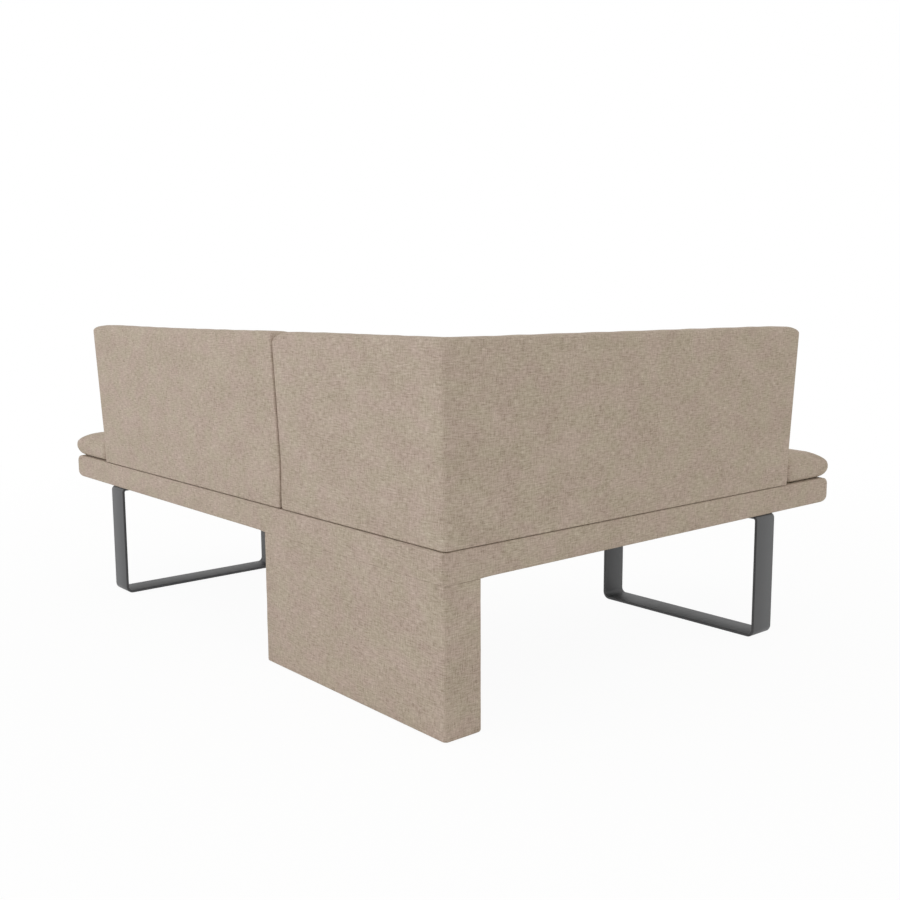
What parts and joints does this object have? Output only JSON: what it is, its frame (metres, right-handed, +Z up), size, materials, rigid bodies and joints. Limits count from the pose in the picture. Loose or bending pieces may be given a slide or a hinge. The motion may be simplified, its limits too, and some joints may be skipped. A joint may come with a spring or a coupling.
{
  "type": "upholstered corner dining bench",
  "caption": "Upholstered corner bench with an L-shaped seat, notched seat pads and low leaning backrests, on a padded plinth and flat-bar steel sled loops.",
  "frame": {"origin": "on the floor under the centre of the bench's bounding box", "axes": "+X points along the short wing to its free end, +Y along the long wing to its free end and +Z up; the backrests stand on the -X and -Y sides and meet at the rear corner"},
  "size_m": [1.4788, 1.9488, 0.85],
  "materials": {
    "upholstery": "matte",
    "steel": "satin",
    "wood": "matte",
    "plywood": "matte",
    "foam": "matte",
    "lining": "matte",
    "zinc": "satin",
    "glide": "matte"
  },
  "bodies": {
    "root": {"short_wing_side_rails": "wood", "short_wing_cross_rails": "wood", "long_wing_side_rails": "wood", "long_wing_cross_rails": "wood", "sled_bearers": "wood", "short_wing_deck": "plywood", "long_wing_deck": "plywood", "base_edge_foam": "foam", "base_cover": "upholstery", "platform_cloth": "lining", "short_wing_lining": "lining", "long_wing_lining": "lining", "wing_joint_bolts": "zinc", "wing_joint_nuts": "zinc", "short_pad_board": "plywood", "long_pad_board": "plywood", "short_pad_foam": "foam", "long_pad_foam": "foam", "short_pad_cover": "upholstery", "long_pad_cover": "upholstery", "pad_screws": "zinc", "corner_back_short_panel": "plywood", "corner_back_long_panel": "plywood", "long_back_panel": "plywood", "corner_back_foam": "foam", "long_back_foam": "foam", "corner_back_cover": "upholstery", "long_back_cover": "upholstery", "corner_back_uprights": "steel", "long_back_uprights": "steel", "back_bolts": "zinc", "back_screws": "zinc", "plinth_side_boards": "plywood", "plinth_end_boards": "plywood", "plinth_top_board": "plywood", "plinth_bottom_board": "plywood", "plinth_wadding": "foam", "plinth_cover": "upholstery", "plinth_screws": "zinc", "plinth_glides": "glide", "short_wing_sled": "steel", "long_wing_sled": "steel", "sled_bolts": "zinc", "sled_insert_nuts": "zinc", "sled_glides": "glide"}
  },
  "joints": []
}
